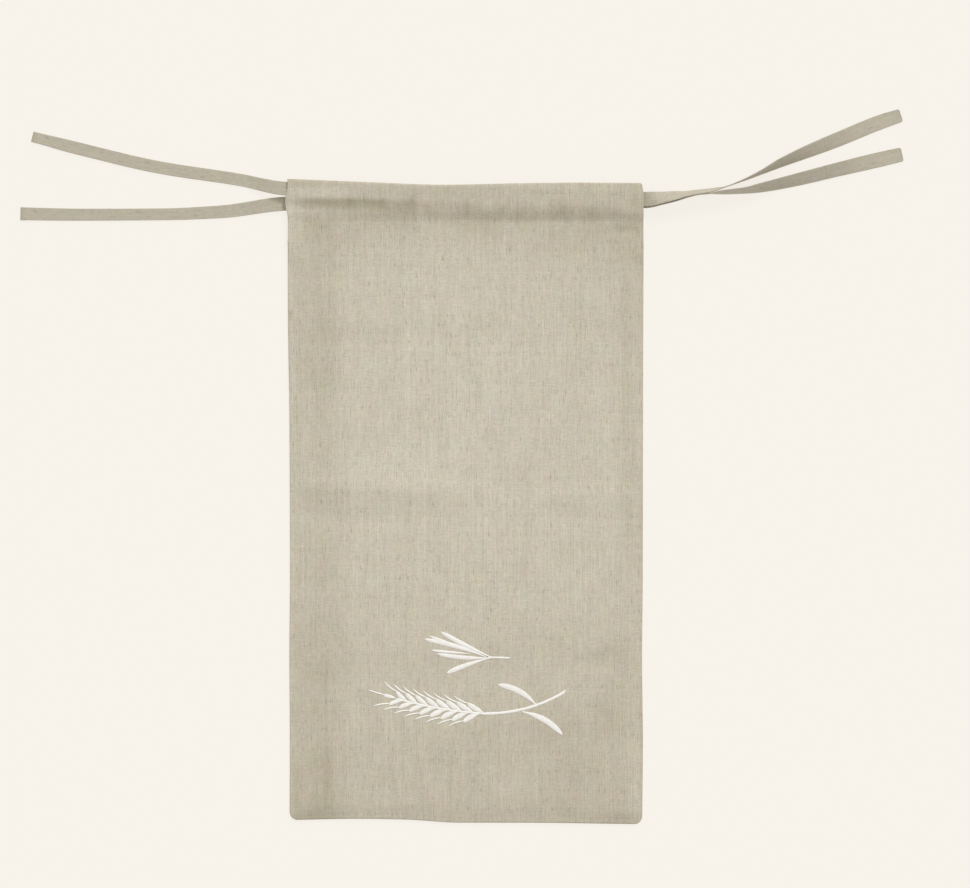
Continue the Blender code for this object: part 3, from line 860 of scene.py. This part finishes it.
def tie_stitch_rows(lie):
    """Rows of stitches on both faces: along the open edge and across each hemmed end."""
    centre, wide, facing, half, run = lie
    paths, ups = [], []
    for side in (1, -1):
        share = TIE_STITCH_INSET / half - 1
        t = tape_half_thickness(share, half, run, run[-1]) * side
        paths.append((centre + wide * (share * half)[:, None] + facing * t[:, None])[2:-2])
        ups.append((facing * side)[2:-2])
        for place in (TIE_END_ROW, run[-1] - TIE_END_ROW):
            i = int(np.argmin(abs(run - place)))
            shares = np.linspace(-0.86, 0.9, 6)[:, None]
            t = tape_half_thickness(0, half[i], run[i], run[-1]) * side
            paths.append(centre[i] + wide[i] * shares * half[i] + facing[i] * t)
            ups.append(np.tile(facing[i] * side, (6, 1)))
    return paths, np.vstack(ups)


TIE_DARK = (0.34, 0.30, 0.225)
TIE_LIGHT = (0.68, 0.625, 0.505)
tie_linen = linen("tie_linen", TIE_DARK, TIE_LIGHT, 0.42)
front_casing_z = FRONT_INNER_Z + TIE_LIFT + SOLID_PLY / 2 + PLY_GAP + TIE_SPACE / 2
back_casing_z = SOLID_PLY + PLY_GAP + TIE_SPACE / 2
tie_pieces = []
for node, route, casing_z, pile_step, seed in (
        ("front_tie", FRONT_TIE_ROUTE, front_casing_z, PILE_STEP, 11),
        ("back_tie", BACK_TIE_ROUTE, back_casing_z, 0.0, 12)):
    lie = tie_lie(route, casing_z, pile_step)
    tape = tie_object(node + "_tape", lie)
    tape.data.materials.append(tie_linen)
    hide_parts(node)
    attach(tape, "root")
    rows, ups = tie_stitch_rows(lie)
    stitches = grow(
        node + "_stitches", path_mesh(node + "_rows", rows, {"up": ups}), lockstitch,
        {"Pitch": TIE_STITCH_PITCH, "Length": TIE_STITCH_LENGTH, "Width": STITCH_WIDTH,
         "Height": STITCH_HEIGHT, "Seed": seed, "Thread": sewing_thread})

# Embroidery: ivory satin stitch on the lower front, a sprig of narrow leaves above an ear of
# wheat that lies on its side. Each leaf, grain and stalk is a row of threads laid side by side.
SATIN_PITCH = 0.42 * MM
SATIN_THREAD = 0.25 * MM
SATIN_CROWN = 0.62 * MM
BASE_SHARE = 0.2
TIP_SHARE = 0.22
TIP_FROM = 0.3
TIP_POWER = 2.4
Stroke = namedtuple("Stroke", "x0 y0 x1 y1 bow width fullest slant")
SPRIG = [Stroke(*row) for row in (
    (19, -131.2, 37, -131.6, 0.2, 2.2, 0, 40),
    (22, -131.0, -20.5, -109.6, 0.9, 4.4, 0.62, 62),
    (4, -126.6, -30, -113.2, -0.2, 2.6, 0.6, 62),
    (17, -130.6, -34, -115.8, -1.5, 4.3, 0.58, 62),
    (4, -128, -28.6, -125, 0.2, 2.4, 0.6, 62),
    (20, -131.4, -23.5, -128, 1.5, 4.0, 0.5, 62),
    (21, -131.6, -15.4, -144, -0.9, 4.4, 0.68, 62))]


def stroke_path(stroke, step=0.8):
    """A bowed line in millimetres with its half widths: a lens, or even where fullest is 0."""
    length = math.hypot(stroke.x1 - stroke.x0, stroke.y1 - stroke.y0)
    t = np.linspace(0, 1, max(4, round(length / step)))
    side_x, side_y = -(stroke.y1 - stroke.y0) / length, (stroke.x1 - stroke.x0) / length
    bow = stroke.bow * 4 * t * (1 - t)
    x = mix(stroke.x0, stroke.x1, t) + side_x * bow
    y = mix(stroke.y0, stroke.y1, t) + side_y * bow
    if stroke.fullest:
        swell = mix(BASE_SHARE, 1.0, smooth(t / stroke.fullest) ** 0.8)
        tip_start = mix(stroke.fullest, 1.0, TIP_FROM)
        past = np.clip((t - tip_start) / (1 - tip_start), 0, 1)
        tip = np.maximum(TIP_SHARE, np.sqrt(1 - past**TIP_POWER))
        half = stroke.width / 2 * swell * tip
    else:
        half = np.full_like(t, stroke.width / 2)
    return x * MM, y * MM, half * MM


def satin_tree():
    """Threads side by side across paths, as wide as 'half_width' and turned by 'slant'."""
    tree = bpy.data.node_groups.new("satin_stitch", "GeometryNodeTree")
    tree_inputs(tree, (("Paths", "NodeSocketGeometry"), ("Pitch", "NodeSocketFloat"),
                       ("Radius", "NodeSocketFloat"), ("Crown", "NodeSocketFloat"),
                       ("Seed", "NodeSocketInt"), ("Thread", "NodeSocketMaterial")))
    given = tree.nodes.new("NodeGroupInput").outputs
    places, turned = places_along(tree, given)
    half = add_node(tree, "GeometryNodeInputNamedAttribute", {"Name": "half_width"},
                    data_type="FLOAT").outputs[0]
    slant = add_node(tree, "GeometryNodeInputNamedAttribute", {"Name": "slant"},
                     data_type="FLOAT").outputs[0]
    uneven = add_node(tree, "FunctionNodeRandomValue",
                      {2: -0.05, 3: 0.05, "Seed": given["Seed"]}, data_type="FLOAT")
    angle = calculate(tree, "ADD", slant, uneven.outputs[1])
    spin = add_node(tree, "ShaderNodeCombineXYZ", {"Z": angle})
    swung = add_node(tree, "FunctionNodeRotateRotation",
                     {0: turned, 1: spin.outputs[0]}, rotation_space="LOCAL")
    arch = add_node(tree, "GeometryNodeCurveQuadraticBezier",
                    {"Resolution": 6, "Start": (-1, 0, 0), "End": (1, 0, 0)})
    middle = add_node(tree, "ShaderNodeCombineXYZ", {"Z": given["Crown"]})
    tree.links.new(middle.outputs[0], arch.inputs["Middle"])
    round_section = add_node(tree, "GeometryNodeCurvePrimitiveCircle",
                             {"Resolution": 5, "Radius": given["Radius"]})
    thread = add_node(tree, "GeometryNodeCurveToMesh",
                      {"Curve": arch.outputs[0], "Profile Curve": round_section.outputs[0],
                       "Fill Caps": True})
    stretch = add_node(tree, "ShaderNodeCombineXYZ", {"X": half, "Y": 1.0, "Z": 1.0})
    placed = add_node(tree, "GeometryNodeInstanceOnPoints",
                      {"Points": places, "Instance": thread.outputs[0],
                       "Rotation": swung.outputs[0], "Scale": stretch.outputs[0]})
    return finish_tree(tree, placed, given["Thread"])


def embroider(name, strokes, seed):
    paths, ups, halves, slants = [], [], [], []
    for stroke in strokes:
        x, y, half = stroke_path(stroke)
        path, up = cloth_top(x, y)
        paths.append(path)
        ups.append(up)
        halves.append(half)
        slants.append(np.full_like(x, math.radians(stroke.slant)))
    mesh = path_mesh(name + "_strokes", paths, {
        "up": np.vstack(ups), "half_width": np.concatenate(halves),
        "slant": np.concatenate(slants)})
    return grow(name, mesh, satin_stitch,
                {"Pitch": SATIN_PITCH, "Radius": SATIN_THREAD, "Crown": SATIN_CROWN, "Seed": seed,
                 "Thread": ivory_thread})


satin_stitch = satin_tree()
ivory_thread = thread_material("ivory_thread", (0.86, 0.83, 0.765), (0.99, 0.975, 0.93), 0.5)
sprig = embroider("leaf_sprig", SPRIG, 21)

# The ear's stalk bends once, its grains sit in pairs along it with a last one at the tip, and
# each grain ends in a fine beard.
EAR_GRAINS = 8
GRAIN_SPACING = 9.4
GRAIN_LENGTH = 15
GRAIN_WIDTH = 5.0
GRAIN_ANGLE = 29
BEARD_LENGTH = 13
BEARD_WIDTH = 2.0
STALK_WIDTH = 2.6
EAR_BASE = (16, -178.5)
EAR_HEADING = 176
EAR_BEND = -1.6
EAR_TAPER = 0.3
GRAIN_LEAD = 0.35
GRAIN_GAP = 1.2
GRAIN_FORM = (0.45, 58)
BEARD_FORM = (0.3, 30)
STALK_FORM = (0, 35)


def ear_strokes():
    """Walk from the ear's base to its tip, placing a grain and its beard on either side."""
    strokes = []
    x, y = EAR_BASE
    heading = EAR_HEADING
    for row in range(EAR_GRAINS + 1):
        last = row == EAR_GRAINS
        for side in ((0,) if last else (1, -1)):
            turn = math.radians(heading + side * GRAIN_ANGLE)
            cos, sin = math.cos(turn), math.sin(turn)
            taper = 1 - EAR_TAPER * (row / EAR_GRAINS) ** 2
            length = GRAIN_LENGTH * taper
            lead = 0 if side <= 0 else GRAIN_SPACING * GRAIN_LEAD
            x0 = x + lead * math.cos(math.radians(heading)) + cos * GRAIN_GAP
            y0 = y + lead * math.sin(math.radians(heading)) + sin * GRAIN_GAP
            x1, y1 = x0 + cos * length, y0 + sin * length
            strokes.append(Stroke(x0, y0, x1, y1, side * -0.7, GRAIN_WIDTH * taper,
                                  *GRAIN_FORM))
            beard = math.radians(heading + side * GRAIN_ANGLE * 0.75)
            strokes.append(Stroke(x1 - cos, y1 - sin, x1 + BEARD_LENGTH * math.cos(beard),
                                  y1 + BEARD_LENGTH * math.sin(beard), side * -0.8, BEARD_WIDTH,
                                  *BEARD_FORM))
        x2 = x + GRAIN_SPACING * math.cos(math.radians(heading))
        y2 = y + GRAIN_SPACING * math.sin(math.radians(heading))
        if not last:
            strokes.append(Stroke(x, y, x2, y2, 0, STALK_WIDTH, *STALK_FORM))
        x, y = x2, y2
        heading += EAR_BEND
    return strokes


EAR_STALK = [Stroke(*row) for row in (
    (84, -160, 16, -178.5, 5.0, 3.2, 0, 40),
    (60, -172, 28, -154, -3.5, 5.4, 0.5, 60),
    (48, -177, 81, -196, 3.5, 5.6, 0.5, 60))]
ear = embroider("wheat_ear", EAR_STALK + ear_strokes(), 22)

# Floor: a plain pale studio table that glows a little, so that only soft contact shadows show.
FLOOR_HALF = 6.0
FLOOR_COLOUR = (0.93, 0.896, 0.831)
FLOOR_GLOW = 0.9
floor_mesh = bpy.data.meshes.new("floor")
floor_mesh.from_pydata([(x * FLOOR_HALF, y * FLOOR_HALF, -0.2 * MM)
                        for x, y in ((-1, -1), (1, -1), (1, 1), (-1, 1))], [], [(0, 1, 2, 3)])
floor = place_object("floor", floor_mesh)
floor_material = bpy.data.materials.new("pale_table")
floor_material.use_nodes = True
floor_shader = floor_material.node_tree.nodes["Principled BSDF"]
floor_shader.inputs["Base Color"].default_value = (
    *(c * (1 - FLOOR_GLOW) for c in FLOOR_COLOUR), 1)
floor_shader.inputs["Roughness"].default_value = 1.0
floor_shader.inputs["Specular IOR Level"].default_value = 0.0
floor_shader.inputs["Emission Color"].default_value = (*FLOOR_COLOUR, 1)
floor_shader.inputs["Emission Strength"].default_value = FLOOR_GLOW
floor_mesh.materials.append(floor_material)

# Light: a large soft lamp beyond the mouth of the bag, low enough to show its folds, in an
# evenly lit white room.
ROOM_LIGHT = 0.70
LAMP_STRENGTH = 1.7
LAMP_ELEVATION = 34
LAMP_TURN = -24
LAMP_SPREAD = 16
world = bpy.data.worlds.new("white_room")
world.use_nodes = True
room = world.node_tree.nodes["Background"]
room.inputs["Color"].default_value = (1, 1, 1, 1)
room.inputs["Strength"].default_value = ROOM_LIGHT
bpy.context.scene.world = world
lamp_data = bpy.data.lights.new("soft_lamp", "SUN")
lamp_data.energy = LAMP_STRENGTH
lamp_data.angle = math.radians(LAMP_SPREAD)
lamp = place_object("soft_lamp", lamp_data)
lamp.rotation_euler = (math.radians(LAMP_ELEVATION - 90), 0, math.radians(LAMP_TURN))

# Camera: straight above the bag, far enough for an almost parallel view.
VIEW_CENTRE = (16.48 * MM, 49.02 * MM)
VIEW_WIDTH = 819.7 * MM
VIEW_HEIGHT = 3.0
SENSOR = 36.0
camera_data = bpy.data.cameras.new("camera")
camera_data.sensor_width = SENSOR
camera_data.lens = SENSOR * VIEW_HEIGHT / VIEW_WIDTH
camera_data.clip_end = 100
camera = place_object("camera", camera_data)
camera.location = (*VIEW_CENTRE, VIEW_HEIGHT)
bpy.context.scene.camera = camera
bpy.context.scene.view_settings.view_transform = "Standard"
